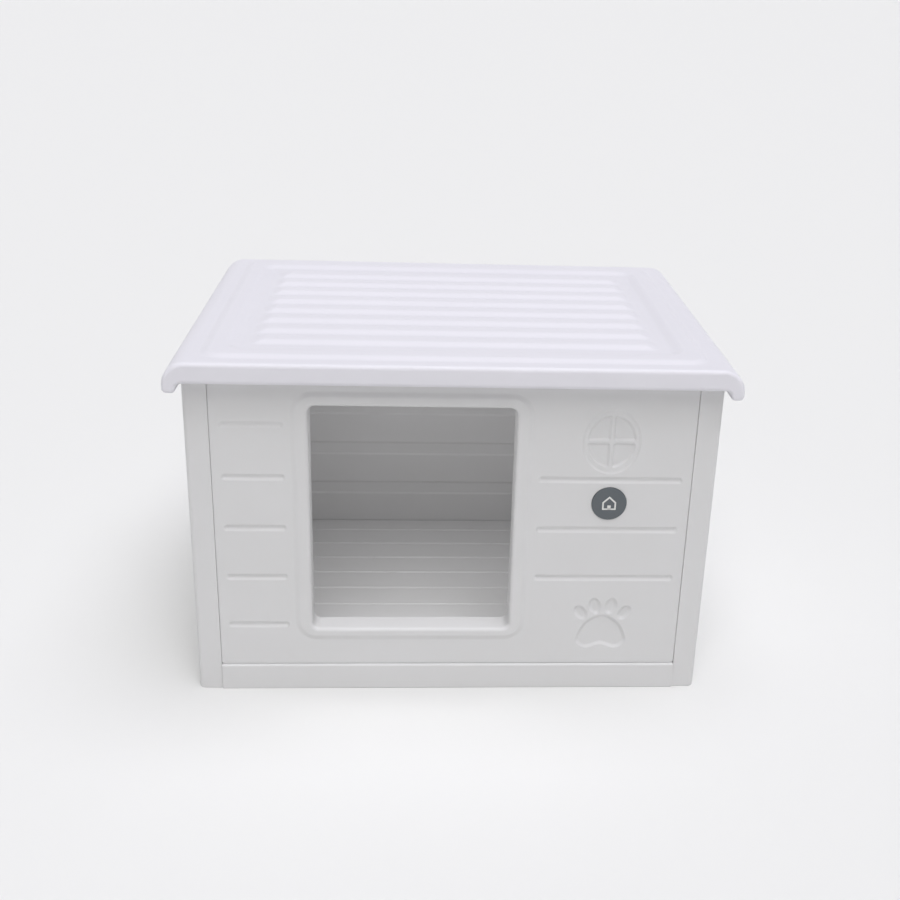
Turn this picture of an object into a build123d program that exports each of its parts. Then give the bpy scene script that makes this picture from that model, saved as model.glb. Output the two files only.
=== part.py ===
from build123d import *
import os

# Knock-down plastic pet house: base tray, four double-wall panels, lift-off ribbed roof.
# Millimetres. +X is to the right seen from the doorway side, +Y to the back, +Z up.
# The origin is on the ground, at the middle of the house.

# Driving dimensions
body_width = 600.0
body_depth = 420.0
panel_thickness = 27.5
skin = 2.0
face_skin = 3.0
seam_gap = 0.4
roof_gap = 0.3

# Base tray
plinth_height = 33.0
plinth_proud = 3.0
plinth_edge_radius = 2.5
floor_height = 32.0
floor_skin = 2.5
floor_rib_count = 8
floor_rib_pitch = 43.5
floor_rib_width = 5.0
floor_rib_height = 1.8
floor_rib_end_gap = 8.0
tray_web = 2.0
tray_web_clearance = 4.0

# Walls
roof_underside = 394.0
wall_top = roof_underside - roof_gap
side_proud = 1.0
side_corner_radius = 6.0
side_inner_radius = 1.2
panel_foot_radius = 3.0
groove_heights = [87.0, 150.2, 213.4, 276.6, 339.8]
groove_width = 7.5
groove_depth = 1.6
groove_end_radius = 2.0
side_groove_length = 352.0
back_groove_length = 484.0
band_width = 18.0
band_depth = 1.0
band_end_radius = 3.0
band_end_gap = 6.0

# Doorway and its raised surround
door_left = -164.0
door_right = 68.0
door_bottom = 82.0
door_top = 363.0
door_radius = 8.0
surround_side = 16.3
surround_bottom = 12.5
surround_top = 14.0
surround_radius = 22.0
surround_proud = 2.5
surround_edge_radius = 1.8

# Grooves beside the doorway: left end and right end along X
left_groove_ends = (-260.4, -192.3)
right_groove_ends = (96.5, 260.0)

# Oval window relief
oval_x = 176.6
oval_z = 323.6
oval_half_width = 33.6
oval_half_height = 40.6
oval_step_depth = 0.9
pane_half_width = 28.4
pane_half_height = 34.4
pane_depth = 1.9
glazing_bar = 5.0

# Badge
badge_x = 177.0
badge_z = 246.0
badge_radius = 21.5
badge_seat_depth = 0.8
badge_thickness = 2.2
badge_seat_clearance = 0.3
glyph_thickness = 0.3
glyph_line = 1.8

# Paw relief: toe centre x, centre z, half width, half height, tilt in degrees
paw_depth = 1.7
paw_x = 179.0
paw_toes = [
    (-26.2, 103.2, 6.2, 9.6, 35.0),
    (-9.6, 112.0, 6.4, 10.2, 12.0),
    (9.6, 112.0, 6.4, 10.2, -12.0),
    (26.2, 103.2, 6.2, 9.6, -35.0),
]
paw_pad_bottom = 57.0
paw_pad_top = 98.4
paw_pad_half_width = 29.5

# Sliding keys that join front and back panels to the sides
key_neck_width = 4.4
key_head_width = 10.4
key_neck_length = 3.4
key_head_length = 4.4
key_clearance = 0.3
key_end_margin = 7.0
key_wall = 2.8

# Hooks on the base tray that catch in windows of the side panels
hook_positions = [-120.0, 0.0, 120.0]
hook_width = 30.0
hook_low = 8.0
hook_neck_low = 14.0
hook_top = 20.0
hook_thickness = 3.5
window_top = 27.0

# Roof
roof_half_width = 316.0
roof_overhang = 24.0
roof_border_top = 418.5
shoulder_radius = 26.0
lip_bottom = 383.5
lip_inner = 301.0
lip_throat_reach = 8.5
roof_edge_radius = 6.0
seat_clearance = 0.6
frame_half_width = 276.0
frame_half_depth = 212.0
frame_top = 422.0
frame_radius = 18.0
field_half_width = 251.0
field_half_depth = 184.0
field_level = 418.0
field_radius = 16.0
roof_rib_count = 8
roof_rib_pitch = 41.9
roof_rib_width = 24.3
roof_rib_half_length = 224.5
roof_rib_top = 422.0
roof_rib_end_radius = 7.0
roof_rib_edge_radius = 2.4
roof_skin = 2.5
locator_height = 8.0
locator_thickness = 3.0
locator_clearance = 1.5

vent_radius = 2.5

# Derived places
half_depth = body_depth / 2
inner_half_width = body_width / 2 - panel_thickness
inner_half_depth = half_depth - panel_thickness
filler_half_width = inner_half_width - seam_gap
panel_bottom = plinth_height + seam_gap
key_plane = half_depth - panel_thickness / 2
roof_half_depth = half_depth + roof_overhang


def box(x0, x1, y0, y1, z0, z1):
    """A box from its six limits."""
    centre = Pos((x0 + x1) / 2, (y0 + y1) / 2, (z0 + z1) / 2)
    return centre * Box(x1 - x0, y1 - y0, z1 - z0)


def wall_plane(y):
    """A plane at this y, drawn in X and Z, whose normal points to -Y."""
    return Plane(origin=(0, y, 0), x_dir=(1, 0, 0), z_dir=(0, -1, 0))


def side_plane(x):
    """A plane at this x, drawn in Y and Z, whose normal points to +X."""
    return Plane(origin=(x, 0, 0), x_dir=(0, 1, 0), z_dir=(1, 0, 0))


def rounded_prism(plane, u0, u1, v0, v1, radius, amount):
    """A rounded rectangle between two limits each way, extruded along the plane's normal."""
    sketch = Pos((u0 + u1) / 2, (v0 + v1) / 2) * RectangleRounded(u1 - u0, v1 - v0, radius)
    return extrude(plane * sketch, amount)


def cut_bands(panel, plane, u0, u1):
    """Shallow bands moulded across an inner face, level with the outer grooves."""
    for height in groove_heights:
        low = height - band_width / 2
        panel -= rounded_prism(plane, u0, u1, low, low + band_width, band_end_radius, band_depth)
    return panel


def cut_grooves(panel, plane, u0, u1, heights):
    """Plank grooves cut into an outer face."""
    for height in heights:
        low = height - groove_width / 2
        panel -= rounded_prism(plane, u0, u1, low, low + groove_width, groove_end_radius, groove_depth)
    return panel


def vent(x, y, z):
    """The small hole that every hollow moulding has in a hidden face."""
    return Pos(x, y, z) * Cylinder(vent_radius, 4 * skin)


def make_base_tray():
    outer_half_depth = half_depth + plinth_proud
    tray = box(-filler_half_width, filler_half_width, -outer_half_depth, outer_half_depth, 0, plinth_height)
    long_edges = tray.edges().filter_by(Axis.X).group_by(Axis.Z)[-1]
    tray = fillet(long_edges, plinth_edge_radius)
    tray -= box(-filler_half_width, filler_half_width, -inner_half_depth, inner_half_depth,
                floor_height, plinth_height)
    under = box(-filler_half_width + floor_skin, filler_half_width - floor_skin,
                -outer_half_depth + floor_skin, outer_half_depth - floor_skin,
                0, floor_height - floor_skin)
    for i in range(5):
        x = (i - 2) * 2 * filler_half_width / 6
        under -= box(x - tray_web / 2, x + tray_web / 2, -half_depth, half_depth,
                     tray_web_clearance, plinth_height)
    for y in (-inner_half_depth, -inner_half_depth / 3, inner_half_depth / 3, inner_half_depth):
        under -= box(-filler_half_width, filler_half_width, y - tray_web / 2, y + tray_web / 2,
                     tray_web_clearance, plinth_height)
    tray -= under
    rib_half_length = filler_half_width - floor_rib_end_gap
    for i in range(floor_rib_count):
        y = (i - (floor_rib_count - 1) / 2) * floor_rib_pitch
        rib = box(-rib_half_length, rib_half_length, y - floor_rib_width / 2, y + floor_rib_width / 2,
                  floor_height - 1, floor_height + floor_rib_height)
        rib = fillet(rib.edges().filter_by(Axis.X).group_by(Axis.Z)[-1], 1.2)
        tray += rib
    neck_end = inner_half_width + skin + band_depth + key_clearance
    for side in (-1, 1):
        for y in hook_positions:
            low = y - hook_width / 2
            high = y + hook_width / 2
            near, far = sorted((side * filler_half_width, side * neck_end))
            tray += box(near, far, low, high, hook_neck_low, hook_top)
            near, far = sorted((side * neck_end, side * (neck_end + hook_thickness)))
            tray += box(near, far, low, high, hook_low, hook_top)
    return tray


def make_side_panel(side):
    outer = body_width / 2
    length = half_depth + side_proud
    panel = box(inner_half_width, outer, -length, length, 0, wall_top)
    upright = panel.edges().filter_by(Axis.Z)
    panel = fillet(upright.group_by(Axis.X)[-1], side_corner_radius)
    panel = fillet(panel.edges().filter_by(Axis.Z).group_by(Axis.X)[0], side_inner_radius)
    hollow = box(inner_half_width + skin + band_depth, outer - face_skin, -length + skin, length - skin,
                 skin, wall_top - skin)
    head = key_head_width / 2 + key_clearance
    slot_depth = key_neck_length + key_head_length + 2 * key_clearance
    for y in (-key_plane, key_plane):
        hollow -= box(inner_half_width, inner_half_width + slot_depth + key_wall,
                      y - head - key_wall, y + head + key_wall, 0, wall_top)
    panel -= hollow
    neck = key_neck_width / 2 + key_clearance
    neck_depth = key_neck_length - seam_gap - key_clearance
    for y in (-key_plane, key_plane):
        panel -= box(inner_half_width, inner_half_width + neck_depth, y - neck, y + neck,
                     panel_bottom, wall_top)
        panel -= box(inner_half_width + neck_depth, inner_half_width + slot_depth, y - head, y + head,
                     panel_bottom, wall_top)
    for y in hook_positions:
        panel -= box(inner_half_width, inner_half_width + skin + band_depth,
                     y - hook_width / 2 - 1, y + hook_width / 2 + 1,
                     hook_neck_low - key_clearance, window_top)
    half_groove = side_groove_length / 2
    panel = cut_grooves(panel, side_plane(outer - groove_depth), -half_groove, half_groove, groove_heights)
    half_band = inner_half_depth - band_end_gap
    panel = cut_bands(panel, side_plane(inner_half_width), -half_band, half_band)
    panel -= vent(outer - panel_thickness / 2, 100, 0)
    if side < 0:
        panel = mirror(panel, Plane.YZ)
    return panel


def add_keys(panel, y):
    """The T-shaped keys down both ends of a front or back panel."""
    low = panel_bottom + key_end_margin
    high = wall_top - key_end_margin
    neck_end = filler_half_width + key_neck_length
    for side in (-1, 1):
        near, far = sorted((side * filler_half_width, side * neck_end))
        panel += box(near, far, y - key_neck_width / 2, y + key_neck_width / 2, low, high)
        near, far = sorted((side * neck_end, side * (neck_end + key_head_length)))
        panel += box(near, far, y - key_head_width / 2, y + key_head_width / 2, low, high)
    return panel


def oval(half_width, half_height):
    return Pos(oval_x, oval_z) * Ellipse(half_width, half_height)


def paw_pad_sketch():
    """The large pad of the paw: a dome with a wavy lower edge."""
    side = paw_pad_half_width
    outline = Spline(
        (paw_x - side, paw_pad_bottom + 8),
        (paw_x - side * 0.72, paw_pad_bottom + 28),
        (paw_x, paw_pad_top),
        (paw_x + side * 0.72, paw_pad_bottom + 28),
        (paw_x + side, paw_pad_bottom + 8),
        (paw_x + side * 0.62, paw_pad_bottom - 1),
        (paw_x, paw_pad_bottom + 4),
        (paw_x - side * 0.62, paw_pad_bottom - 1),
        periodic=True,
    )
    return make_face(outline)


def make_front_panel():
    face = -half_depth
    inner = -inner_half_depth
    panel = box(-filler_half_width, filler_half_width, face, inner, panel_bottom, wall_top)
    panel = fillet(panel.edges().filter_by(Axis.Y).group_by(Axis.Z)[0], panel_foot_radius)
    panel = fillet(panel.edges().filter_by(Axis.Z).group_by(Axis.Y)[0], side_inner_radius)
    surround = rounded_prism(wall_plane(face + 1), door_left - surround_side, door_right + surround_side,
                             door_bottom - surround_bottom, door_top + surround_top,
                             surround_radius, surround_proud + 1)
    surround = fillet(surround.edges().group_by(Axis.Y)[0], surround_edge_radius)
    panel += surround
    hollow = box(-filler_half_width + skin, filler_half_width - skin, face + face_skin,
                 inner - skin - band_depth, panel_bottom + skin, wall_top - skin)
    hollow -= rounded_prism(wall_plane(inner), door_left - skin, door_right + skin,
                            door_bottom - skin, door_top + skin,
                            door_radius + skin, panel_thickness)
    panel -= hollow
    doorway = rounded_prism(wall_plane(inner + 1), door_left, door_right, door_bottom, door_top,
                            door_radius, panel_thickness + surround_proud + 2)
    panel -= doorway
    front_rim = panel.edges().filter_by_position(Axis.Y, face - surround_proud - 0.01,
                                                 face - surround_proud + 0.01)
    inside_door = [e for e in front_rim
                   if door_left - 1 < e.center().X < door_right + 1
                   and door_bottom - 1 < e.center().Z < door_top + 1]
    panel = fillet(inside_door, surround_edge_radius)
    floor_plane = wall_plane(face + groove_depth)
    panel = cut_grooves(panel, floor_plane, *left_groove_ends, groove_heights)
    panel = cut_grooves(panel, floor_plane, *right_groove_ends, groove_heights[1:4])
    panel -= extrude(wall_plane(face + oval_step_depth) * oval(oval_half_width, oval_half_height),
                     oval_step_depth + 1)
    panes = oval(pane_half_width, pane_half_height)
    panes -= Pos(oval_x, oval_z) * Rectangle(glazing_bar, 3 * pane_half_height)
    panes -= Pos(oval_x, oval_z) * Rectangle(3 * pane_half_width, glazing_bar)
    panel -= extrude(wall_plane(face + pane_depth) * panes, pane_depth + 1)
    panel -= extrude(wall_plane(face + paw_depth) * paw_pad_sketch(), paw_depth + 1)
    for x, z, half_w, half_h, tilt in paw_toes:
        toe = Pos(paw_x + x, z) * Rot(0, 0, tilt) * Ellipse(half_w, half_h)
        panel -= extrude(wall_plane(face + paw_depth) * toe, paw_depth + 1)
    seat = Pos(badge_x, badge_z) * Circle(badge_radius + badge_seat_clearance)
    panel -= extrude(wall_plane(face + badge_seat_depth) * seat, badge_seat_depth + 1)
    far = filler_half_width - band_end_gap
    inner_plane = wall_plane(inner)
    panel = cut_bands(panel, inner_plane, -far, door_left - surround_side)
    panel = cut_bands(panel, inner_plane, door_right + surround_side, far)
    panel -= vent((door_left + door_right) / 2, (face + inner) / 2, panel_bottom)
    return add_keys(panel, -key_plane)


def make_back_panel():
    inner = inner_half_depth
    outer = half_depth
    panel = box(-filler_half_width, filler_half_width, inner, outer, panel_bottom, wall_top)
    panel = fillet(panel.edges().filter_by(Axis.Y).group_by(Axis.Z)[0], panel_foot_radius)
    panel = fillet(panel.edges().filter_by(Axis.Z).group_by(Axis.Y)[-1], side_inner_radius)
    panel -= box(-filler_half_width + skin, filler_half_width - skin, inner + skin + band_depth,
                 outer - face_skin, panel_bottom + skin, wall_top - skin)
    half_groove = back_groove_length / 2
    panel = cut_grooves(panel, wall_plane(outer), -half_groove, half_groove, groove_heights)
    half_band = filler_half_width - band_end_gap
    panel = cut_bands(panel, wall_plane(inner + band_depth), -half_band, half_band)
    panel -= vent(0, (inner + outer) / 2, panel_bottom)
    return add_keys(panel, key_plane)


def roof_profile():
    """The roof's front outline: flat top, round shoulders and a rounded lip down each side."""
    shoulder_x = roof_half_width - shoulder_radius
    shoulder_z = roof_border_top - shoulder_radius
    lip_radius = (roof_half_width - lip_inner) / 2
    lip_z = lip_bottom + lip_radius
    throat_x = lip_inner - lip_throat_reach
    half = make_face([
        Line((0, roof_border_top), (shoulder_x, roof_border_top)),
        RadiusArc((shoulder_x, roof_border_top), (roof_half_width, shoulder_z), shoulder_radius),
        Line((roof_half_width, shoulder_z), (roof_half_width, lip_z)),
        RadiusArc((roof_half_width, lip_z), (lip_inner, lip_z), lip_radius),
        Bezier((lip_inner, lip_z), (lip_inner, roof_underside), (throat_x, roof_underside)),
        Line((throat_x, roof_underside), (0, roof_underside)),
        Line((0, roof_underside), (0, roof_border_top)),
    ])
    return half + mirror(half, Plane.YZ)


def soft_pad(half_width, half_depth_y, low, high, radius, edge_radius):
    """A raised pad on the roof with rounded plan corners and a rounded upper edge."""
    pad = rounded_prism(Plane.XY.offset(low), -half_width, half_width, -half_depth_y, half_depth_y,
                        radius, high - low)
    return fillet(pad.edges().group_by(Axis.Z)[-1], edge_radius)


def make_roof():
    roof = extrude(wall_plane(roof_half_depth) * roof_profile(), 2 * roof_half_depth)
    ends = [e for e in roof.edges()
            if abs(abs(e.center().Y) - roof_half_depth) < 0.01 and e.center().Z > roof_underside + 1]
    ends += [e for e in roof.edges()
             if abs(abs(e.center().Y) - roof_half_depth) < 0.01 and e.center().Z < roof_underside - 1]
    roof = fillet(ends, roof_edge_radius)
    seat_x = lip_inner
    seat_y = half_depth + side_proud + seat_clearance
    roof -= box(-seat_x, seat_x, -seat_y, seat_y, lip_bottom - 1, roof_underside)
    frame = soft_pad(frame_half_width, frame_half_depth, roof_border_top - 1, frame_top,
                     frame_radius, roof_rib_edge_radius)
    roof += frame
    roof -= rounded_prism(Plane.XY.offset(field_level), -field_half_width, field_half_width,
                          -field_half_depth, field_half_depth, field_radius, frame_top)
    for i in range(roof_rib_count):
        y = (i - (roof_rib_count - 1) / 2) * roof_rib_pitch
        rib = Pos(0, y, 0) * soft_pad(roof_rib_half_length, roof_rib_width / 2, field_level - 1,
                                      roof_rib_top, roof_rib_end_radius, roof_rib_edge_radius)
        roof += rib
    hollow_half_width = lip_inner - roof_skin
    hollow_half_depth = roof_half_depth - roof_edge_radius
    roof -= box(-hollow_half_width, hollow_half_width, -hollow_half_depth, hollow_half_depth,
                roof_underside + skin, field_level - roof_skin)
    near_x = inner_half_width - locator_clearance
    near_y = inner_half_depth - locator_clearance
    for sign in (-1, 1):
        low, high = sorted((sign * near_y, sign * (near_y - locator_thickness)))
        roof += box(-near_x / 2, near_x / 2, low, high, roof_underside - locator_height, roof_underside)
        low, high = sorted((sign * near_x, sign * (near_x - locator_thickness)))
        roof += box(low, high, -near_y / 2, near_y / 2, roof_underside - locator_height, roof_underside)
    roof -= vent(0, inner_half_depth / 2, roof_underside)
    return roof


def make_badge():
    """A plain round badge set into its seat on the front panel."""
    back = -half_depth + badge_seat_depth
    disc = extrude(wall_plane(back) * Pos(badge_x, badge_z) * Circle(badge_radius), badge_thickness)
    return fillet(disc.edges().group_by(Axis.Y)[0], 0.6)


def make_badge_glyph():
    """A small plain house outline, inlaid on the badge."""
    face = -half_depth + badge_seat_depth - badge_thickness
    outline = make_face(Polyline(
        (badge_x - 8, badge_z - 7.5), (badge_x + 8, badge_z - 7.5), (badge_x + 8, badge_z + 2),
        (badge_x, badge_z + 9.5), (badge_x - 8, badge_z + 2), close=True))
    ring = outline - offset(outline, -glyph_line)
    door = Pos(badge_x, badge_z - 4.4) * Rectangle(4, 5)
    return extrude(wall_plane(face) * (ring + door), glyph_thickness)


if __name__ == "__main__":
    os.makedirs("parts", exist_ok=True)
    pieces = {
        "base_tray": make_base_tray(),
        "side_panel_left": make_side_panel(-1),
        "side_panel_right": make_side_panel(1),
        "front_panel": make_front_panel(),
        "back_panel": make_back_panel(),
        "roof": make_roof(),
        "badge_disc": make_badge(),
        "badge_glyph": make_badge_glyph(),
    }
    for name, piece in pieces.items():
        piece.label = name
        export_step(piece, f"parts/{name}.step")
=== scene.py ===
import math

import bmesh
import bpy
from mathutils.geometry import tessellate_polygon
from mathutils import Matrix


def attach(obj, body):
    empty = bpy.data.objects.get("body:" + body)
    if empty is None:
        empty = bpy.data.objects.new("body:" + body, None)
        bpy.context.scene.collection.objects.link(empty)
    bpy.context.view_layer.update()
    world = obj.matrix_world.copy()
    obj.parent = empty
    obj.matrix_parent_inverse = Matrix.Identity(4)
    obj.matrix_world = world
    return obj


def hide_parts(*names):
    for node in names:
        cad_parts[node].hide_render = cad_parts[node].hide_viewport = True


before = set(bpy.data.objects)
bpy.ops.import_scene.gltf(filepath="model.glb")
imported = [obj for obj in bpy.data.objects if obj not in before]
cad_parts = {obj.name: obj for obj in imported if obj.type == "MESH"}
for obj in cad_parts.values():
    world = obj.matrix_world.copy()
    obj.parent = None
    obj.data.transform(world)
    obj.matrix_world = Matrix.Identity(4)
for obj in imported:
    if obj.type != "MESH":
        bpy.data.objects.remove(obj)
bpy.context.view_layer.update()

# Knock-down plastic pet house, in metres. +X is to the right seen from the doorway side, +Y to
# the back, +Z up. Each moulding is built again here with the soft edges that moulding gives it.

# The run of a relief is how wide its sloping side is. Half of the run lies on each side of the
# limits that are given for it, except for the floor ribs, whose limits are given at their foot.

# Driving dimensions
body_width = 0.600
body_depth = 0.420
panel_thickness = 0.0275
seam_gap = 0.0002
roof_gap = 0.0003
wall_edge = 0.0008
vent_radius = 0.0025
vent_depth = 0.004

# Edges that turn by more than this many degrees stay sharp in the shading
sharp_angle = 38

# How far the keys and hooks run into the moulding that they stand on, and into each other
root_depth = 0.001
join_overlap = 0.0005

# Base tray
plinth_height = 0.033
plinth_proud = 0.003
plinth_edge = 0.0025
plinth_foot_edge = 0.001
tray_edge = 0.0006
floor_height = 0.032
floor_skin = 0.0025
floor_rib_count = 8
floor_rib_pitch = 0.0435
floor_rib_width = 0.0070
floor_rib_height = 0.0012
floor_rib_run = 0.0030
floor_rib_corner = 0.0032
floor_rib_end_gap = 0.0085
tray_wall = 0.003
tray_web = 0.002
tray_web_clearance = 0.004
tray_corner = 0.003
tray_hollow_draft = 0.0002
tray_cell_draft = 0.0005
tray_cells_x = 6
tray_cells_y = 5
hook_positions = (-0.120, 0.0, 0.120)
hook_width = 0.030
hook_low = 0.008
hook_neck_low = 0.014
hook_top = 0.020
hook_reach = 0.0033
hook_thickness = 0.0035
hook_neck_edge = 0.0003
hook_tip_edge = 0.0008

# Walls
roof_underside = 0.394
side_proud = 0.001
side_corner = 0.006
inner_corner = 0.0006
panel_foot = 0.003
side_vent_y = 0.100
groove_heights = (0.0870, 0.1502, 0.2134, 0.2766, 0.3398)
groove_width = 0.0053
groove_depth = 0.0018
groove_run = 0.0044
groove_corner = 0.0024
side_groove_length = 0.352
back_groove_length = 0.484
band_width = 0.018
band_depth = 0.001
band_run = 0.004
band_corner = 0.003
band_end_gap = 0.006

# Sliding keys that join the front and back panels to the sides
key_neck_width = 0.0044
key_head_width = 0.0104
key_neck_length = 0.0034
key_head_length = 0.0044
key_clearance = 0.0003
key_end_margin = 0.007
key_edge = 0.0003
slot_lead = 0.002
slot_overrun = 0.005

# Doorway and its raised surround
door_left = -0.164
door_right = 0.068
door_bottom = 0.082
door_top = 0.363
door_corner = 0.008
door_edge = 0.0042
door_inner_edge = door_edge * 0.6
surround_side = 0.0163
surround_bottom = 0.0125
surround_top = 0.014
surround_corner = 0.022
surround_proud = 0.0019
surround_run = 0.008

# Grooves beside the doorway: left end and right end along X. Only three go on the right.
left_groove_ends = (-0.2604, -0.1923)
right_groove_ends = (0.0965, 0.2600)
right_groove_heights = groove_heights[1:4]

# Oval window relief
oval_x = 0.1766
oval_z = 0.3236
oval_half_width = 0.0324
oval_half_height = 0.0384
oval_step_depth = 0.0015
oval_run = 0.0036
pane_half_width = 0.0268
pane_half_height = 0.0310
pane_depth = 0.0038
pane_run = 0.0036
pane_corner = 0.0034
pane_rim_corner_share = 0.7
glazing_bar = 0.0052

# Badge, with a glyph that is placed from the badge's middle
badge_x = 0.1783
badge_z = 0.2475
badge_radius = 0.0203
badge_seat_depth = 0.0008
badge_seat_clearance = 0.0003
badge_seat_draft = 0.00015
badge_thickness = 0.0022
badge_edge = 0.0006
glyph_thickness = 0.0003
glyph_line = 0.0018
glyph_edge = 0.0001
glyph_corner = 0.0006
glyph_outline = ((-0.008, -0.0075), (0.008, -0.0075), (0.008, 0.002), (0, 0.0095),
                 (-0.008, 0.002))
glyph_door_half_width = 0.002
glyph_door_bottom = -0.0069
glyph_door_top = -0.0019
glyph_door_corner = 0.0003

# Paw relief
paw_x = 0.1803
paw_depth = 0.0026
paw_run = 0.0050
# Each toe: centre x, centre z, half width, half height, tilt in degrees
paw_toes = (
    (-0.0262, 0.1032, 0.0056, 0.0090, 35),
    (-0.0096, 0.1120, 0.0058, 0.0096, 12),
    (0.0096, 0.1120, 0.0058, 0.0096, -12),
    (0.0262, 0.1032, 0.0056, 0.0090, -35),
)
paw_pad_bottom = 0.057
paw_pad_top = 0.0984
paw_pad_half_width = 0.0287
paw_pad_notch = 0.004
# The pad's right half: share of its half width, height above its bottom
paw_pad_knots = ((0.62, -0.001), (1.0, 0.008), (0.76, 0.028), (0.38, 0.0379))

# Roof
roof_half_width = 0.316
roof_overhang = 0.024
roof_border_top = 0.4185
shoulder_radius = 0.026
lip_bottom = 0.3835
lip_inner = 0.301
lip_throat_reach = 0.0085
roof_edge = 0.005
roof_back_corner = 0.010
fascia_lower_edge = 0.005
lip_corner = 0.005
lip_edge = 0.003
seat_clearance = 0.0006
frame_half_width = 0.276
frame_half_depth = 0.212
frame_top = 0.422
frame_corner = 0.018
frame_run = 0.013
field_half_width = 0.251
field_half_depth = 0.184
field_level = 0.418
field_corner = 0.016
field_run = 0.016
roof_rib_count = 8
roof_rib_pitch = 0.0419
roof_rib_width = 0.0243
roof_rib_half_length = 0.2245
roof_rib_corner = 0.008
roof_rib_top_corner = 0.001
roof_rib_run = 0.014
roof_rib_end_run = 0.019
locator_height = 0.008
locator_thickness = 0.003
locator_clearance = 0.0015
locator_corner = 0.0012
locator_edge = 0.0004

# Texture of the plastic: noise scales per metre, bump heights and strengths, spread of roughness
drift_scale = 9
handling_scale = 45
sink_scale = 14
sink_height = 0.0004
sink_strength = 0.15
grain_scale = 1500
grain_strength = 0.6
smoother_by = 0.05
rougher_by = 0.06

# Light under the roof, as shares of the cabin's size
cabin_light_width = 0.9
cabin_light_forward = 0.4

# Derived places
half_width = body_width / 2
half_depth = body_depth / 2
inner_half_width = half_width - panel_thickness
inner_half_depth = half_depth - panel_thickness
filler_half_width = inner_half_width - seam_gap
panel_bottom = plinth_height + seam_gap
wall_top = roof_underside - roof_gap
key_plane = half_depth - panel_thickness / 2
roof_half_depth = half_depth + roof_overhang

# The sides of an upright block, in the order of its outline
RIGHT, BACK, LEFT, FRONT = range(4)


# Outlines: lists of (u, v) points in order round a shape

def arc(u, v, radius_u, radius_v, start, stop, steps):
    """Points along part of an ellipse, with its angles in degrees."""
    points = []
    for i in range(steps + 1):
        angle = math.radians(start + (stop - start) * i / steps)
        points.append((u + radius_u * math.cos(angle), v + radius_v * math.sin(angle)))
    return points


def rounded_rectangle(u0, u1, v0, v1, radii, steps=6):
    """A rectangle with round corners. Four radii start at the lower right, anticlockwise."""
    if not isinstance(radii, tuple):
        radii = (radii,) * 4
    corners = ((u1, v0), (u1, v1), (u0, v1), (u0, v0))
    inwards = ((-1, 1), (-1, -1), (1, -1), (1, 1))
    points = []
    for k, ((u, v), (du, dv), radius) in enumerate(zip(corners, inwards, radii)):
        start = 90 * (k - 1)
        points += arc(u + du * radius, v + dv * radius, radius, radius, start, start + 90, steps)
    return points


def relief_rim(u0, u1, v0, v1, corner, run, steps=6):
    """The rim of a relief whose limits and corners are given at half its depth."""
    spread = run / 2
    return rounded_rectangle(u0 - spread, u1 + spread, v0 - spread, v1 + spread,
                             corner + spread, steps)


def ellipse(u, v, half_u, half_v, tilt=0, steps=56):
    """A whole ellipse, turned anticlockwise by its tilt in degrees."""
    turn = math.radians(tilt)
    points = []
    for du, dv in arc(0, 0, half_u, half_v, 0, 360, steps)[:-1]:
        points.append((u + du * math.cos(turn) - dv * math.sin(turn),
                       v + du * math.sin(turn) + dv * math.cos(turn)))
    return points


def with_neighbours(loop):
    """Each item of a closed loop, between the one before it and the one after it."""
    return zip(loop[-1:] + loop[:-1], loop, loop[1:] + loop[:1])


def smooth_loop(knots, steps=8):
    """A closed smooth curve through its knots."""
    count = len(knots)
    points = []
    for i in range(count):
        p0, p1, p2, p3 = (knots[(i + k) % count] for k in (-1, 0, 1, 2))
        for j in range(steps):
            t = j / steps
            points.append(tuple(
                (2 * b + (c - a) * t + (2 * a - 5 * b + 4 * c - d) * t ** 2
                 + (3 * b - a - 3 * c + d) * t ** 3) / 2
                for a, b, c, d in zip(p0, p1, p2, p3)))
    return points


def soften_corners(corners, steps=4):
    """A closed outline of (u, v, radius) corners. A corner with no radius stays as it is."""
    points = []
    for before, here, after in with_neighbours(corners):
        u, v, radius = here
        if radius == 0:
            points.append((u, v))
            continue
        ends = []
        for other in (before, after):
            length = math.hypot(other[0] - u, other[1] - v)
            ends.append(((other[0] - u) / length, (other[1] - v) / length))
        (u1, v1), (u2, v2) = ends
        half_angle = math.acos(max(-1, min(1, u1 * u2 + v1 * v2))) / 2
        reach = radius / math.tan(half_angle)
        for i in range(steps + 1):
            t = i / steps
            near, far = (1 - t) ** 2 * reach, t ** 2 * reach
            points.append((u + near * u1 + far * u2, v + near * v1 + far * v2))
    return points


def inset(loop, distance):
    """The loop moved inwards, or outwards if the distance is negative. Each point moves along
    the bisector of its two edges."""
    area = sum(a[0] * b[1] - b[0] * a[1] for a, b in zip(loop, loop[1:] + loop[:1]))
    shift = math.copysign(distance, area * distance) if distance else 0
    moved = []
    for before, here, after in with_neighbours(loop):
        normals = []
        for a, b in ((before, here), (here, after)):
            length = math.hypot(b[0] - a[0], b[1] - a[1])
            normals.append(((a[1] - b[1]) / length, (b[0] - a[0]) / length))
        (nu1, nv1), (nu2, nv2) = normals
        share = 1 + nu1 * nu2 + nv1 * nv2
        moved.append((here[0] + shift * (nu1 + nu2) / share,
                      here[1] + shift * (nv1 + nv2) / share))
    return moved


def sunk(loop, profile):
    """The rings of a relief that has the same profile all round."""
    return [(loop, 0)] + [(inset(loop, run), drop) for run, drop in profile]


# Profiles: how far in and how deep, from a relief's rim to its floor

def soft_step(run, drop, steps=8):
    """A moulded step, round at its top and its foot."""
    return [(run * i / steps, drop * (1 - math.cos(math.pi * i / steps)) / 2)
            for i in range(1, steps + 1)]


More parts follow.
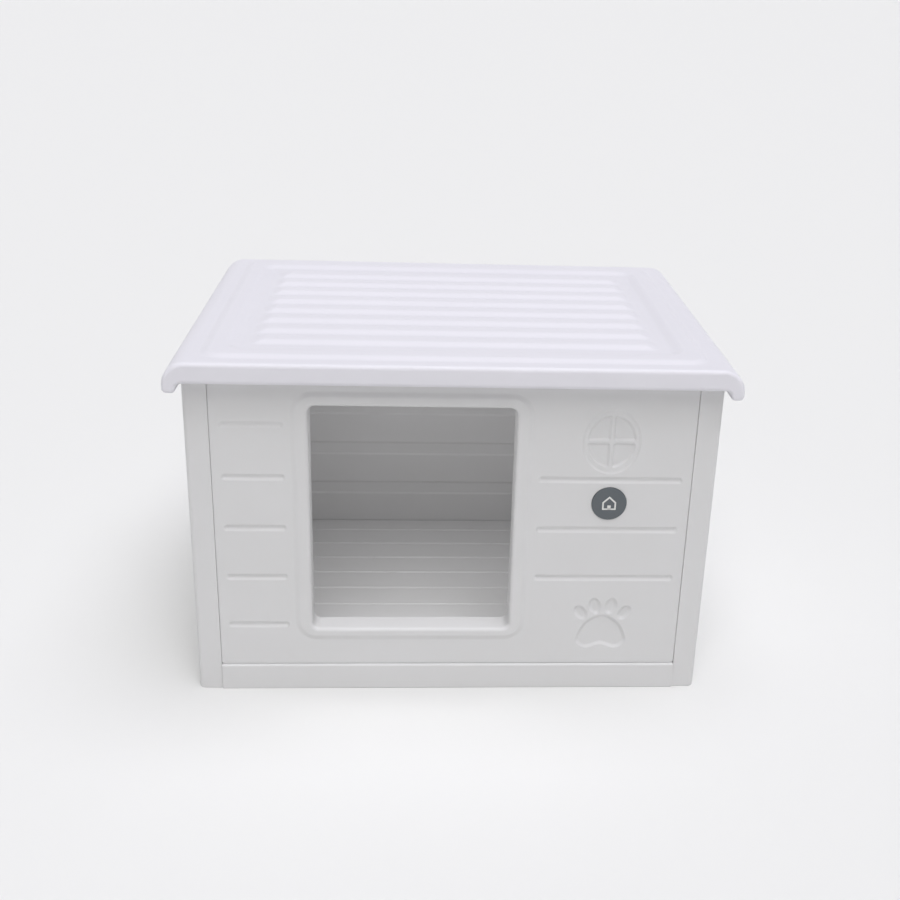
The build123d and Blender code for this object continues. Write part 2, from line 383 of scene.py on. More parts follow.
def rolled_edge(radius, steps=6):
    """A quarter round that turns a flat into an opening."""
    return [(radius * math.sin(math.radians(90 * i / steps)),
             radius * (1 - math.cos(math.radians(90 * i / steps)))) for i in range(1, steps + 1)]


def punched(radius, depth):
    """A hole with a small lead-in and a slight taper."""
    lead_in = radius * 0.1
    return [(lead_in, lead_in), (lead_in * 1.2, depth)]


def round_off(radius, distance):
    """How far a rounded edge stands back at this distance from the end."""
    if distance >= radius:
        return 0.0
    return radius - math.sqrt(radius ** 2 - (radius - distance) ** 2)


def end_distances(*radii, steps=5):
    """The distances from an end at which its rounded edges are cut."""
    cuts = {radius * (1 - math.cos(math.radians(90 * i / steps))) for radius in radii
            for i in range(steps + 1)}
    return sorted(round(cut, 7) for cut in cuts)


# Mesh building

class Side:
    """A flat side of a solid: two axes to draw on, its level on the third, and the way in."""

    def __init__(self, axes, level, inward):
        self.axes = axes
        self.level = level
        self.inward = inward

    def place(self, loop, depth):
        """The points of a loop drawn on this side, at this depth."""
        placed = []
        for u, v in loop:
            point = [0.0, 0.0, 0.0]
            point[self.axes[0]] = u
            point[self.axes[1]] = v
            point[self.axes[2]] = self.level + self.inward * depth
            placed.append(point)
        return placed


class Shell:
    """A closed mesh under construction."""

    def __init__(self):
        self.points = []
        self.numbers = {}
        self.faces = []
        self.open_loops = []

    def loop(self, points):
        """The numbers of these points. A point that is there already keeps its number."""
        found = []
        for point in points:
            key = tuple(round(c, 7) + 0.0 for c in point)
            if key not in self.numbers:
                self.numbers[key] = len(self.points)
                self.points.append(key)
            found.append(self.numbers[key])
        return found

    def face(self, corners):
        """Adds a face without its repeated corners. One that has collapsed is left out."""
        kept = [c for i, c in enumerate(corners) if c != corners[i - 1]]
        if len(kept) > 2 and len(set(kept)) == len(kept):
            self.faces.append(kept)

    def strip(self, near, far, skip=()):
        """Quads between two closed loops, leaving out the spans in skip."""
        for i in range(len(near)):
            if i not in skip:
                j = (i + 1) % len(near)
                self.face([near[i], near[j], far[j], far[i]])

    def fill(self, axes, outer, holes=()):
        """Fills a flat outline round its holes. The fill is worked out in millimetres, because
        its own tolerance is too coarse for small shapes in metres."""
        loops = [list(dict.fromkeys(loop)) for loop in (outer, *holes)]
        u, v = axes[:2]
        flat = [[(self.points[n][u] * 1000, self.points[n][v] * 1000, 0) for n in loop]
                for loop in loops]
        numbers = [n for loop in loops for n in loop]
        for triangle in tessellate_polygon(flat):
            self.face([numbers[k] for k in triangle])

    def relief(self, side, depth, rings, inner=()):
        """Follows rings of (loop, drop) down from a flat side and returns the first, its rim.
        inner lists the reliefs on its floor, and is None for an opening that goes on through."""
        numbered = [self.loop(side.place(loop, depth + drop)) for loop, drop in rings]
        for near, far in zip(numbered, numbered[1:]):
            self.strip(near, far)
        if inner is None:
            self.open_loops.append(numbered[-1])
        else:
            floor = depth + rings[-1][1]
            self.fill(side.axes, numbered[-1], [self.relief(side, floor, *item) for item in inner])
        return numbered[0]

    def flat(self, side, outline, reliefs):
        """Fills a flat side round its reliefs."""
        self.fill(side.axes, outline, [self.relief(side, 0, *item) for item in reliefs])

    def loft(self, sections, windows):
        """Skins equal closed sections. windows gives, for a span between two points, the first
        and last section of the flat there, which stays open. Returns the rows and outlines."""
        rows = [self.loop(section) for section in sections]
        for k, (near, far) in enumerate(zip(rows, rows[1:])):
            skip = [span for span, (first, last) in windows.items() if first <= k < last]
            self.strip(near, far, skip)
        outlines = {}
        for span, (first, last) in windows.items():
            after = (span + 1) % len(rows[0])
            part = rows[first:last + 1]
            outlines[span] = [row[span] for row in part] + [row[after] for row in reversed(part)]
        return rows, outlines

    def upright(self, x, y, z, radii, edge, foot=0.0, reliefs=None, underneath=()):
        """An upright block between limits on each axis. Its upright edges have these radii,
        its ends have a small rounded edge, and foot rounds the lower ends of its X sides."""
        corner_steps = 6
        reliefs = reliefs or {}
        lower = end_distances(edge, max(foot, edge))
        cuts = [(z[0] + t, round_off(max(foot, edge), t), round_off(edge, t)) for t in lower]
        cuts += [(z[1] - t, round_off(edge, t), round_off(edge, t))
                 for t in reversed(end_distances(edge))]
        sections = []
        for height, dx, dy in cuts:
            outline = rounded_rectangle(x[0] + dx, x[1] - dx, y[0] + dy, y[1] - dy, radii,
                                        corner_steps)
            sections.append([(u, v, height) for u, v in outline])
        sides = {
            RIGHT: Side((1, 2, 0), x[1], -1),
            BACK: Side((0, 2, 1), y[1], -1),
            LEFT: Side((1, 2, 0), x[0], 1),
            FRONT: Side((0, 2, 1), y[0], 1),
        }
        windows = {}
        for key in reliefs:
            setback = 1 if key in (RIGHT, LEFT) else 2
            flat_rows = [k for k, cut in enumerate(cuts) if cut[setback] == 0]
            last_of_corner = key * (corner_steps + 1) + corner_steps
            windows[last_of_corner] = (flat_rows[0], flat_rows[-1])
        rows, outlines = self.loft(sections, windows)
        for key, span in zip(reliefs, windows):
            self.flat(sides[key], outlines[span], reliefs[key])
        self.flat(Side((0, 1, 2), z[0], 1), rows[0], underneath)
        self.fill((0, 1), rows[-1])

    def build(self, name):
        """A new object with this mesh, its faces turned outwards."""
        mesh = bpy.data.meshes.new(name)
        mesh.from_pydata(self.points, [], self.faces)
        work = bmesh.new()
        work.from_mesh(mesh)
        bmesh.ops.recalc_face_normals(work, faces=work.faces)
        work.to_mesh(mesh)
        work.free()
        piece = bpy.data.objects.new(name, mesh)
        bpy.context.scene.collection.objects.link(piece)
        return piece


def cut_away(piece, cutter):
    """Cuts one closed mesh out of another and removes the cutter."""
    cut = piece.modifiers.new("cut", "BOOLEAN")
    cut.operation = "DIFFERENCE"
    cut.solver = "EXACT"
    cut.object = cutter
    graph = bpy.context.evaluated_depsgraph_get()
    mesh = bpy.data.meshes.new_from_object(piece.evaluated_get(graph))
    piece.modifiers.clear()
    old = piece.data
    piece.data = mesh
    bpy.data.meshes.remove(old)
    bpy.data.objects.remove(cutter)


def finish_piece(piece, node, body, material):
    """Shades a piece, gives it its material, and puts it in the place of a CAD node."""
    mesh = piece.data
    mesh.shade_smooth()
    mesh.set_sharp_from_angle(angle=math.radians(sharp_angle))
    normals = piece.modifiers.new("normals", "WEIGHTED_NORMAL")
    normals.keep_sharp = True
    mesh.materials.clear()
    mesh.materials.append(material)
    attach(piece, body)
    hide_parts(node)


# Reliefs that several panels share

def groove(left, right, height):
    """A plank groove in an outer face."""
    loop = relief_rim(left, right, height - groove_width / 2, height + groove_width / 2,
                      groove_corner, groove_run)
    return (sunk(loop, soft_step(groove_run, groove_depth)),)


def band(left, right, height):
    """A shallow band across an inner face."""
    loop = relief_rim(left, right, height - band_width / 2, height + band_width / 2,
                      band_corner, band_run)
    return (sunk(loop, soft_step(band_run, band_depth)),)


def vent(u, v):
    """The small hole that a hollow moulding has in a hidden face."""
    return (sunk(ellipse(u, v, vent_radius, vent_radius, steps=24),
                 punched(vent_radius, vent_depth)),)


def door_opening(radius):
    """The doorway's rolled edge, open behind."""
    loop = rounded_rectangle(door_left - radius, door_right + radius, door_bottom - radius,
                             door_top + radius, door_corner + radius, steps=10)
    return sunk(loop, rolled_edge(radius)), None


# The six mouldings and the badge

def build_base_tray():
    """The floor tray: plinth, floor ribs, webs underneath, and hooks at both ends."""
    outer = half_depth + plinth_proud
    foot = plinth_foot_edge
    # Half of the cross-section, from the edge of the floor over the plinth to the foot
    half = [(inner_half_depth, floor_height), (inner_half_depth, plinth_height)]
    half += arc(outer - plinth_edge, plinth_height - plinth_edge, plinth_edge, plinth_edge,
                90, 0, 6)
    half += arc(outer - foot, foot, foot, foot, 0, -90, 4)
    profile = [(-y, z) for y, z in reversed(half)] + half
    floor_span = len(half) - 1
    bottom_span = 2 * len(half) - 1

    shell = Shell()
    ends = end_distances(tray_edge)
    places = [-filler_half_width + t for t in ends]
    places += [filler_half_width - t for t in reversed(ends)]
    sections = []
    for x in places:
        loop = inset(profile, round_off(tray_edge, filler_half_width - abs(x)))
        sections.append([(x, y, z) for y, z in loop])
    flat_rows = (len(ends) - 1, len(ends))
    rows, outlines = shell.loft(sections, {floor_span: flat_rows, bottom_span: flat_rows})
    for row in (rows[0], rows[-1]):
        shell.fill((1, 2), row)

    ribs = []
    rib_end = filler_half_width - floor_rib_end_gap
    reach = floor_rib_width / 2
    for i in range(floor_rib_count):
        y = (i - (floor_rib_count - 1) / 2) * floor_rib_pitch
        loop = rounded_rectangle(-rib_end, rib_end, y - reach, y + reach, floor_rib_corner)
        ribs.append((sunk(loop, soft_step(floor_rib_run, -floor_rib_height)),))
    shell.flat(Side((0, 1, 2), floor_height, -1), outlines[floor_span], ribs)

    cells = []
    x_reach = filler_half_width - tray_wall
    y_reach = outer - tray_wall
    step_x = 2 * x_reach / tray_cells_x
    step_y = 2 * y_reach / tray_cells_y
    pocket_depth = floor_height - floor_skin - tray_web_clearance
    for i in range(tray_cells_x):
        for j in range(tray_cells_y):
            x = -x_reach + i * step_x
            y = -y_reach + j * step_y
            loop = rounded_rectangle(x + tray_web / 2, x + step_x - tray_web / 2,
                                     y + tray_web / 2, y + step_y - tray_web / 2,
                                     tray_corner, 4)
            cells.append((sunk(loop, [(tray_cell_draft, pocket_depth)]),))
    hollow = rounded_rectangle(-x_reach, x_reach, -y_reach, y_reach, tray_corner)
    shell.flat(Side((0, 1, 2), 0, 1), outlines[bottom_span],
               [(sunk(hollow, [(tray_hollow_draft, tray_web_clearance)]), cells)])

    for side in (-1, 1):
        for y in hook_positions:
            across = (y - hook_width / 2, y + hook_width / 2)
            root = side * (filler_half_width - root_depth)
            neck = side * (filler_half_width + hook_reach)
            tip = side * (filler_half_width + hook_reach + hook_thickness)
            shell.upright(sorted((root, neck)), across, (hook_neck_low, hook_top),
                          hook_neck_edge, hook_neck_edge)
            shell.upright(sorted((neck - side * join_overlap, tip)), across, (hook_low, hook_top),
                          hook_tip_edge, hook_tip_edge)
    return shell.build("base_tray_mould")


def build_side_panel(side):
    """The left side panel (side -1) or the right one (side 1), with its keyways."""
    length = half_depth + side_proud
    near, far = sorted((side * inner_half_width, side * half_width))
    outer_side, inner_side = (RIGHT, LEFT) if side > 0 else (LEFT, RIGHT)
    # Radii start at the lower right corner: +X and -Y, then +X and +Y, and so on
    if side > 0:
        radii = (side_corner, side_corner, inner_corner, inner_corner)
    else:
        radii = (inner_corner, inner_corner, side_corner, side_corner)
    half_groove = side_groove_length / 2
    half_band = inner_half_depth - band_end_gap
    reliefs = {
        outer_side: [groove(-half_groove, half_groove, z) for z in groove_heights],
        inner_side: [band(-half_band, half_band, z) for z in groove_heights],
    }
    shell = Shell()
    middle = (near + far) / 2
    shell.upright((near, far), (-length, length), (0, wall_top), radii, wall_edge,
                  reliefs=reliefs, underneath=[vent(middle, side_vent_y)])
    panel = shell.build("side_panel_%s_mould" % ("right" if side > 0 else "left"))

    neck = key_neck_width / 2 + key_clearance
    head = key_head_width / 2 + key_clearance
    neck_end = inner_half_width + key_neck_length - seam_gap - key_clearance
    slot_end = inner_half_width + key_neck_length + key_head_length + 2 * key_clearance
    mouth = inner_half_width - slot_lead
    for y in (-key_plane, key_plane):
        outline = [(mouth, y - neck), (neck_end, y - neck), (neck_end, y - head),
                   (slot_end, y - head), (slot_end, y + head), (neck_end, y + head),
                   (neck_end, y + neck), (mouth, y + neck)]
        slot = Shell()
        rows = [slot.loop([(side * u, v, z) for u, v in outline])
                for z in (panel_bottom, wall_top + slot_overrun)]
        slot.strip(*rows)
        for row in rows:
            slot.fill((0, 1), row)
        cut_away(panel, slot.build("key_slot"))
    return panel


def add_keys(shell, y):
    """The T-shaped keys down both ends of a front or back panel."""
    height = (panel_bottom + key_end_margin, wall_top - key_end_margin)
    root = filler_half_width - root_depth
    neck_end = filler_half_width + key_neck_length
    head_end = neck_end + key_head_length
    for side in (-1, 1):
        shell.upright(sorted((side * root, side * (neck_end + join_overlap))),
                      (y - key_neck_width / 2, y + key_neck_width / 2), height, key_edge, key_edge)
        shell.upright(sorted((side * neck_end, side * head_end)),
                      (y - key_head_width / 2, y + key_head_width / 2), height, key_edge, key_edge)


def window_relief():
    """The oval window: a stepped oval with four panes between its glazing bars."""
    reach_u = pane_half_width + pane_run / 2
    reach_v = pane_half_height + pane_run / 2
    bar = (glazing_bar - pane_run) / 2
    first = math.degrees(math.asin(bar / reach_v))
    last = math.degrees(math.acos(bar / reach_u))
    quarter = arc(0, 0, reach_u, reach_v, first, last, 7)
    corner = pane_corner + pane_run / 2
    rim_corner = corner * pane_rim_corner_share
    corners = [(bar, bar, corner), (*quarter[0], rim_corner)]
    corners += [(u, v, 0) for u, v in quarter[1:-1]]
    corners.append((*quarter[-1], rim_corner))
    pane = soften_corners(corners)
    panes = []
    for flip_u in (-1, 1):
        for flip_v in (-1, 1):
            loop = [(oval_x + flip_u * u, oval_z + flip_v * v) for u, v in pane]
            panes.append((sunk(loop, soft_step(pane_run, pane_depth - oval_step_depth)),))
    spread = oval_run / 2
    outer = ellipse(oval_x, oval_z, oval_half_width + spread, oval_half_height + spread, steps=72)
    return sunk(outer, soft_step(oval_run, oval_step_depth)), panes


def paw_reliefs():
    """The paw: four toes and a pad with a wavy lower edge."""
    spread = paw_run / 2
    reliefs = []
    for x, z, half_w, half_h, tilt in paw_toes:
        loop = ellipse(paw_x + x, z, half_w + spread, half_h + spread, tilt, 40)
        reliefs.append((sunk(loop, soft_step(paw_run, paw_depth)),))
    right = [(paw_pad_half_width * share, paw_pad_bottom + rise) for share, rise in paw_pad_knots]
    knots = [(0, paw_pad_bottom + paw_pad_notch)] + right + [(0, paw_pad_top)]
    knots += [(-u, v) for u, v in reversed(right)]
    pad = smooth_loop([(paw_x + u, v) for u, v in knots])
    reliefs.append((sunk(inset(pad, -spread), soft_step(paw_run, paw_depth)),))
    return reliefs


def build_front_panel():
    """The front panel: doorway, surround, grooves, window, paw and badge seat."""
    surround = relief_rim(door_left - surround_side, door_right + surround_side,
                          door_bottom - surround_bottom, door_top + surround_top,
                          surround_corner, surround_run, 12)
    outside = [(sunk(surround, soft_step(surround_run, -surround_proud)),
                [door_opening(door_edge)])]
    outside += [groove(*left_groove_ends, z) for z in groove_heights]
    outside += [groove(*right_groove_ends, z) for z in right_groove_heights]
    outside.append(window_relief())
    outside += paw_reliefs()
    seat_radius = badge_radius + badge_seat_clearance
    seat = ellipse(badge_x, badge_z, seat_radius, seat_radius)
    outside.append((sunk(seat, [(badge_seat_draft, badge_seat_depth)]),))

    far = filler_half_width - band_end_gap
    inside = [door_opening(door_inner_edge)]
    for z in groove_heights:
        inside.append(band(-far, door_left - surround_side, z))
        inside.append(band(door_right + surround_side, far, z))

    shell = Shell()
    middle_y = -(half_depth + inner_half_depth) / 2
    shell.upright((-filler_half_width, filler_half_width), (-half_depth, -inner_half_depth),
                  (panel_bottom, wall_top), inner_corner, wall_edge, panel_foot,
                  {FRONT: outside, BACK: inside},
                  [vent((door_left + door_right) / 2, middle_y)])
    shell.strip(*shell.open_loops)
    add_keys(shell, -key_plane)
    return shell.build("front_panel_mould")


def build_back_panel():
    """The plain back panel, with grooves outside and bands inside."""
    half_groove = back_groove_length / 2
    half_band = filler_half_width - band_end_gap
    outside = [groove(-half_groove, half_groove, z) for z in groove_heights]
    inside = [band(-half_band, half_band, z) for z in groove_heights]
    shell = Shell()
    shell.upright((-filler_half_width, filler_half_width), (inner_half_depth, half_depth),
                  (panel_bottom, wall_top), inner_corner, wall_edge, panel_foot,
                  {BACK: outside, FRONT: inside},
                  [vent(0, (half_depth + inner_half_depth) / 2)])
    add_keys(shell, key_plane)
    return shell.build("back_panel_mould")


def roof_half_outline(corner, squared):
    """The right half of the roof's cross-section, from under the seat round the lip to the flat
    top, as (x, z, edge radius). The throat beside the lip is round in the overhangs, and squared
    where the walls come up into it."""
    lip_z = lip_bottom + lip_corner
    shoulder_x = roof_half_width - shoulder_radius
    shoulder_z = roof_border_top - shoulder_radius
    throat_x = lip_inner - lip_throat_reach
    throat_steps = 8
    outline = []
    for i in range(throat_steps + 1):
        t = i / throat_steps
        if squared:
            x = throat_x + lip_throat_reach * min(1, 2 * t)
            z = roof_underside - (roof_underside - lip_z) * max(0, 2 * t - 1)
        else:
            x = throat_x + lip_throat_reach * (1 - (1 - t) ** 2)
            z = roof_underside - (roof_underside - lip_z) * t ** 2
        outline.append((x, z, fascia_lower_edge + (lip_edge - fascia_lower_edge) * t))
    lip = arc(lip_inner + lip_corner, lip_z, lip_corner, lip_corner, 180, 270, 7)
    lip += arc(roof_half_width - lip_corner, lip_z, lip_corner, lip_corner, 270, 360, 7)
    for i, (x, z) in enumerate(lip[1:], 1):
        outline.append((x, z, lip_edge + (corner - lip_edge) * i / (len(lip) - 1)))
    shoulder = arc(shoulder_x, shoulder_z, shoulder_radius, shoulder_radius, 0, 90, 12)
    for i, (x, z) in enumerate(shoulder):
        outline.append((x, z, corner + (roof_edge - corner) * i / (len(shoulder) - 1)))
    return outline


def roof_section(end, turn, corner):
    """The roof's outline where its end edge has turned by this many degrees. end is -1 at the
    front and 1 at the back."""
    half = roof_half_outline(corner, False)
    outline = [(-x, z, r) for x, z, r in reversed(half)] + half
    flat = [(x, z) for x, z, _ in outline]
    # A short step inwards gives the direction in which each point moves
    step = 0.001
    toward = inset(flat, step)
    back_off = 1 - math.cos(math.radians(turn))
    reach = 1 - math.sin(math.radians(turn))
    section = []
    for (x, z), (ix, iz), (_, _, radius) in zip(flat, toward, outline):
        shift = radius * back_off / step
        section.append((x + (ix - x) * shift, end * (roof_half_depth - radius * reach),
                        z + (iz - z) * shift))
    return section


def build_roof():
    """The roof: a raised frame round a field of ribs, side lips, and locating ribs underneath."""
    turns = range(0, 91, 15)
    seat_y = half_depth + side_proud + seat_clearance
    half_size = len(roof_half_outline(roof_edge, False))
    under_span = half_size - 1
    top_span = 2 * half_size - 1
    sections = [roof_section(-1, turn, roof_edge) for turn in reversed(turns)]
    first_flat = len(sections) - 1
    for y, squared in ((-seat_y, False), (-seat_y, True), (seat_y, True), (seat_y, False)):
        half = roof_half_outline(roof_edge, squared)
        outline = [(-x, z) for x, z, _ in reversed(half)] + [(x, z) for x, z, _ in half]
        sections.append([(x, y, z) for x, z in outline])
    last_flat = len(sections)
    sections += [roof_section(1, turn, roof_back_corner) for turn in turns]

    shell = Shell()
    flat_rows = (first_flat, last_flat)
    rows, outlines = shell.loft(sections, {under_span: flat_rows, top_span: flat_rows})
    for row in (rows[0], rows[-1]):
        shell.fill((0, 2), row)

    height = frame_top - field_level
    ribs = []
    for i in range(roof_rib_count):
        y = (i - (roof_rib_count - 1) / 2) * roof_rib_pitch
        rings = []
        for share, drop in [(0, 0)] + soft_step(1, -height, 12):
            reach_x = roof_rib_half_length + roof_rib_end_run * (0.5 - share)
            reach_y = roof_rib_width / 2 + roof_rib_run * (0.5 - share)
            radius = roof_rib_corner * (1 - share) + roof_rib_top_corner
            rings.append((rounded_rectangle(-reach_x, reach_x, y - reach_y, y + reach_y,
                                            radius, 8), drop))
        ribs.append((rings,))
    field_rim = relief_rim(-field_half_width, field_half_width, -field_half_depth,
                           field_half_depth, field_corner, field_run, 8)
    field = (sunk(field_rim, soft_step(field_run, height, 10)), ribs)
    frame_rim = relief_rim(-frame_half_width, frame_half_width, -frame_half_depth,
                           frame_half_depth, frame_corner, frame_run, 8)
    raised = (sunk(frame_rim, soft_step(frame_run, roof_border_top - frame_top, 10)), [field])
    shell.flat(Side((0, 1, 2), roof_border_top, -1), outlines[top_span], [raised])

    near_x = inner_half_width - locator_clearance
    near_y = inner_half_depth - locator_clearance
    profile = [(locator_edge, -locator_height + locator_edge), (locator_edge * 2, -locator_height)]
    locators = []
    for sign in (-1, 1):
        low, high = sorted((sign * near_y, sign * (near_y - locator_thickness)))
        across = rounded_rectangle(-near_x / 2, near_x / 2, low, high, locator_corner, 4)
        locators.append((sunk(across, profile),))
        low, high = sorted((sign * near_x, sign * (near_x - locator_thickness)))
        along = rounded_rectangle(low, high, -near_y / 2, near_y / 2, locator_corner, 4)
        locators.append((sunk(along, profile),))
    locators.append(vent(0, inner_half_depth / 2))
    shell.flat(Side((0, 1, 2), roof_underside, 1), outlines[under_span], locators)
    return shell.build("roof_mould")


def build_plate(name, side, outline, thickness, edge, holes=()):
    """A flat plate that stands up from its side by its thickness, with a rounded upper edge."""
    shell = Shell()
    back = shell.loop(side.place(outline, 0))
    last = back
    for rise, setback in [(0, 0)] + rolled_edge(edge):
        ring = shell.loop(side.place(inset(outline, setback), -(thickness - edge + rise)))
        shell.strip(last, ring)
        last = ring
    front_holes = []
    back_holes = []
    for hole in holes:
        front_hole = shell.loop(side.place(hole, -thickness))
        back_hole = shell.loop(side.place(hole, 0))
        shell.strip(front_hole, back_hole)
        front_holes.append(front_hole)
        back_holes.append(back_hole)
    shell.fill(side.axes, last, front_holes)
    shell.fill(side.axes, back, back_holes)
    return shell.build(name)


def build_badge():
    """The round badge in its seat."""
    side = Side((0, 2, 1), -half_depth + badge_seat_depth, 1)
    outline = ellipse(badge_x, badge_z, badge_radius, badge_radius, steps=96)
    return build_plate("badge_disc_face", side, outline, badge_thickness, badge_edge)


def build_glyph():
    """A plain house outline with a door, on the badge."""
    face = Side((0, 2, 1), -half_depth + badge_seat_depth - badge_thickness, 1)
    placed = [(badge_x + u, badge_z + v) for u, v in glyph_outline]
    outline = soften_corners([(u, v, glyph_corner) for u, v in placed])
    hole = inset(placed, glyph_line)
    ring = build_plate("badge_glyph_print", face, outline, glyph_thickness, glyph_edge, [hole])
    door = rounded_rectangle(badge_x - glyph_door_half_width, badge_x + glyph_door_half_width,
                             badge_z + glyph_door_bottom, badge_z + glyph_door_top,
                             glyph_door_corner, 3)
    return ring, build_plate("badge_glyph_door", face, door, glyph_thickness, glyph_edge)


# Materials

def noise(nodes, links, place, scale, detail, rough=0.5):
    """A noise texture in the object's own coordinates."""
    node = nodes.new("ShaderNodeTexNoise")
    node.inputs["Scale"].default_value = scale
    node.inputs["Detail"].default_value = detail
    node.inputs["Roughness"].default_value = rough
    links.new(place.outputs["Object"], node.inputs["Vector"])
    return node


def moulded_plastic(name, colour, worn, roughness, grain_height):
    """Satin moulded plastic: a fine grain, slow sink marks, and a slight drift in its colour."""
    material = bpy.data.materials.new(name)
    material.use_nodes = True
    nodes = material.node_tree.nodes
    links = material.node_tree.links
    shader = nodes["Principled BSDF"]
    place = nodes.new("ShaderNodeTexCoord")

    drift = noise(nodes, links, place, drift_scale, 4)
    tint = nodes.new("ShaderNodeMix")
    tint.data_type = "RGBA"
    tint.inputs["A"].default_value = (*colour, 1)
    tint.inputs["B"].default_value = (*worn, 1)
    links.new(drift.outputs["Fac"], tint.inputs["Factor"])
    links.new(tint.outputs["Result"], shader.inputs["Base Color"])

    handling = noise(nodes, links, place, handling_scale, 5, 0.6)
    gloss = nodes.new("ShaderNodeMapRange")
    gloss.inputs["From Min"].default_value = 0.3
    gloss.inputs["From Max"].default_value = 0.7
    gloss.inputs["To Min"].default_value = roughness - smoother_by
    gloss.inputs["To Max"].default_value = roughness + rougher_by
    links.new(handling.outputs["Fac"], gloss.inputs["Value"])
    links.new(gloss.outputs["Result"], shader.inputs["Roughness"])

    sink = nodes.new("ShaderNodeBump")
    sink.inputs["Distance"].default_value = sink_height
    sink.inputs["Strength"].default_value = sink_strength
    slow = noise(nodes, links, place, sink_scale, 2)
    links.new(slow.outputs["Fac"], sink.inputs["Height"])
    grain = nodes.new("ShaderNodeBump")
    grain.inputs["Distance"].default_value = grain_height
    grain.inputs["Strength"].default_value = grain_strength
    fine = noise(nodes, links, place, grain_scale, 2)
    links.new(fine.outputs["Fac"], grain.inputs["Height"])
    links.new(sink.outputs["Normal"], grain.inputs["Normal"])
    links.new(grain.outputs["Normal"], shader.inputs["Normal"])
    return material


# Stage, light and camera

def place_camera():
    data = bpy.data.cameras.new("camera")
    data.lens = 47.5
    data.sensor_width = 36.0
    data.shift_x = -0.0556
    data.shift_y = -0.0222
    camera = bpy.data.objects.new("camera", data)
    camera.location = (-0.0443, -1.4410, 0.8261)
    camera.rotation_euler = [math.radians(a) for a in (68.377, -2.092, -3.505)]
    bpy.context.scene.collection.objects.link(camera)
    bpy.context.scene.camera = camera


def soft_sun(name, elevation, azimuth, spread, strength, colour):
    """A wide soft light from far off. Azimuth is measured from the doorway side, to the right."""
    data = bpy.data.lights.new(name, "SUN")
    data.angle = math.radians(spread)
    data.energy = strength
    data.color = colour
    light = bpy.data.objects.new(name, data)
    light.rotation_euler = (math.radians(90 - elevation), 0, math.radians(azimuth))
    bpy.context.scene.collection.objects.link(light)


def cabin_light():
    """A weak wide light under the front of the roof, for the daylight through its thin plastic."""
    data = bpy.data.lights.new("cabin", "AREA")
    data.shape = "RECTANGLE"
    data.size = 2 * inner_half_width * cabin_light_width
    data.size_y = inner_half_depth
    data.energy = 0.42
    light = bpy.data.objects.new("cabin", data)
    light.location = (0, -inner_half_depth * cabin_light_forward,
                      roof_underside - 2 * locator_height)
    light.visible_camera = False
    bpy.context.scene.collection.objects.link(light)


def light_world():
    """A nearly white horizon that runs into the floor, dim above it and less dim overhead."""
    world = bpy.data.worlds.new("world")
    world.use_nodes = True
    nodes = world.node_tree.nodes
    links = world.node_tree.links
    place = nodes.new("ShaderNodeTexCoord")
    split = nodes.new("ShaderNodeSeparateXYZ")
    ramp = nodes.new("ShaderNodeValToRGB")
    # Height, from the horizon to straight up, and brightness
    stops = ((0.0, 0.88), (0.12, 0.88), (0.32, 0.25), (0.7, 0.14), (1.0, 0.25))
    ramp.color_ramp.elements[0].position = stops[0][0]
    ramp.color_ramp.elements[1].position = stops[-1][0]
    for position, _ in stops[1:-1]:
        ramp.color_ramp.elements.new(position)
    for element, (_, level) in zip(ramp.color_ramp.elements, stops):
        element.color = (level, level, level * 1.01, 1)
    links.new(place.outputs["Generated"], split.inputs["Vector"])
    links.new(split.outputs["Z"], ramp.inputs["Fac"])
    links.new(ramp.outputs["Color"], nodes["Background"].inputs["Color"])
    nodes["Background"].inputs["Strength"].default_value = 1.0
    bpy.context.scene.world = world


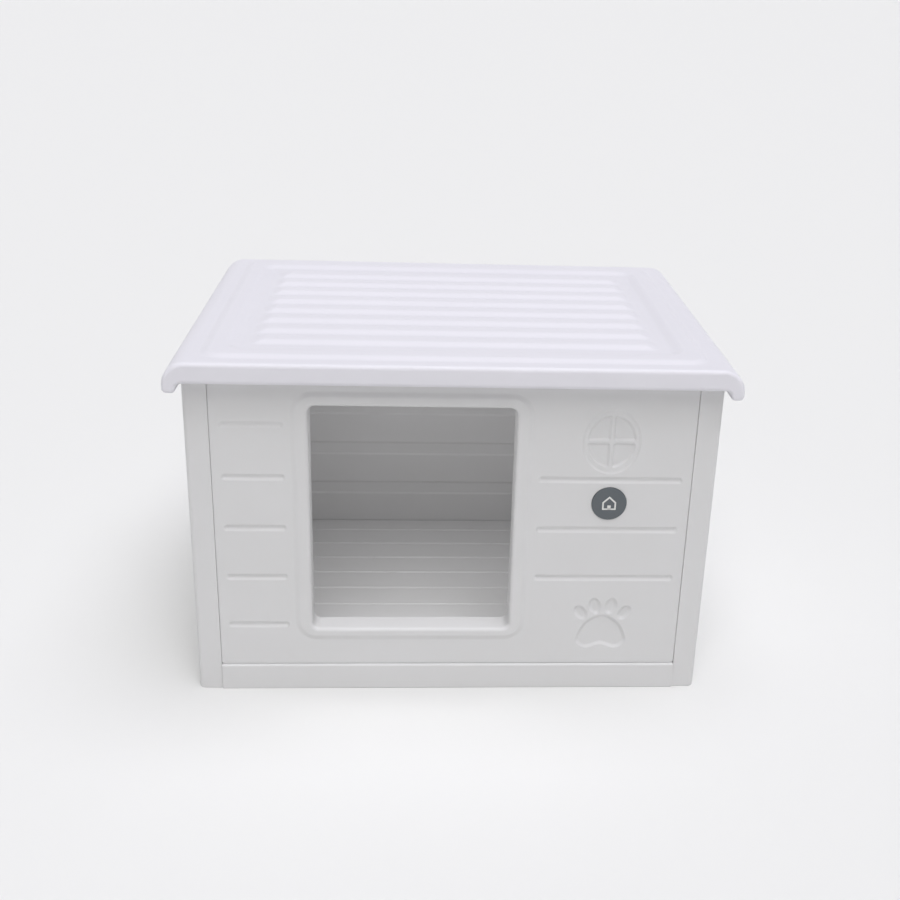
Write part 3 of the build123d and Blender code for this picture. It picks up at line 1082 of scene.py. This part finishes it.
def lay_floor():
    """A pale round floor, wide enough to reach the horizon."""
    mesh = bpy.data.meshes.new("floor")
    radius = 60
    outline = ellipse(0, 0, radius, radius, steps=64)
    mesh.from_pydata([(x, y, 0) for x, y in outline], [], [list(range(len(outline)))])
    floor = bpy.data.objects.new("floor", mesh)
    bpy.context.scene.collection.objects.link(floor)
    material = bpy.data.materials.new("floor")
    material.use_nodes = True
    shader = material.node_tree.nodes["Principled BSDF"]
    shader.inputs["Base Color"].default_value = (0.74, 0.74, 0.725, 1)
    shader.inputs["Roughness"].default_value = 0.9
    shader.inputs["Specular IOR Level"].default_value = 0.1
    mesh.materials.append(material)


wall_plastic = moulded_plastic("wall_plastic", (0.64, 0.637, 0.64), (0.615, 0.612, 0.61),
                               roughness=0.48, grain_height=0.00003)
# The roof's colour is partly its own tint and partly painted skylight: it is lighter and bluer
# than the walls' plastic over the whole roof, fascia too.
roof_plastic = moulded_plastic("roof_plastic", (0.705, 0.695, 0.735), (0.68, 0.67, 0.71),
                               roughness=0.52, grain_height=0.00003)
badge_plastic = moulded_plastic("badge_plastic", (0.085, 0.098, 0.108), (0.105, 0.118, 0.128),
                                roughness=0.36, grain_height=0.00002)
badge_print = moulded_plastic("badge_print", (0.72, 0.72, 0.70), (0.66, 0.66, 0.64),
                              roughness=0.5, grain_height=0.00001)

finish_piece(build_base_tray(), "base_tray", "house", wall_plastic)
finish_piece(build_side_panel(-1), "side_panel_left", "house", wall_plastic)
finish_piece(build_side_panel(1), "side_panel_right", "house", wall_plastic)
finish_piece(build_front_panel(), "front_panel", "house", wall_plastic)
finish_piece(build_back_panel(), "back_panel", "house", wall_plastic)
finish_piece(build_roof(), "roof", "roof", roof_plastic)
finish_piece(build_badge(), "badge_disc", "house", badge_plastic)
for glyph_piece in build_glyph():
    finish_piece(glyph_piece, "badge_glyph", "house", badge_print)

bpy.context.scene.view_settings.view_transform = "Standard"
place_camera()
light_world()
lay_floor()
soft_sun("overhead", elevation=80, azimuth=60, spread=50, strength=1.80,
         colour=(0.975, 0.975, 1.05))
soft_sun("front", elevation=57, azimuth=0, spread=40, strength=1.32, colour=(1.0, 0.995, 0.99))
soft_sun("back", elevation=25, azimuth=190, spread=60, strength=0.2, colour=(1.0, 1.0, 1.0))
cabin_light()
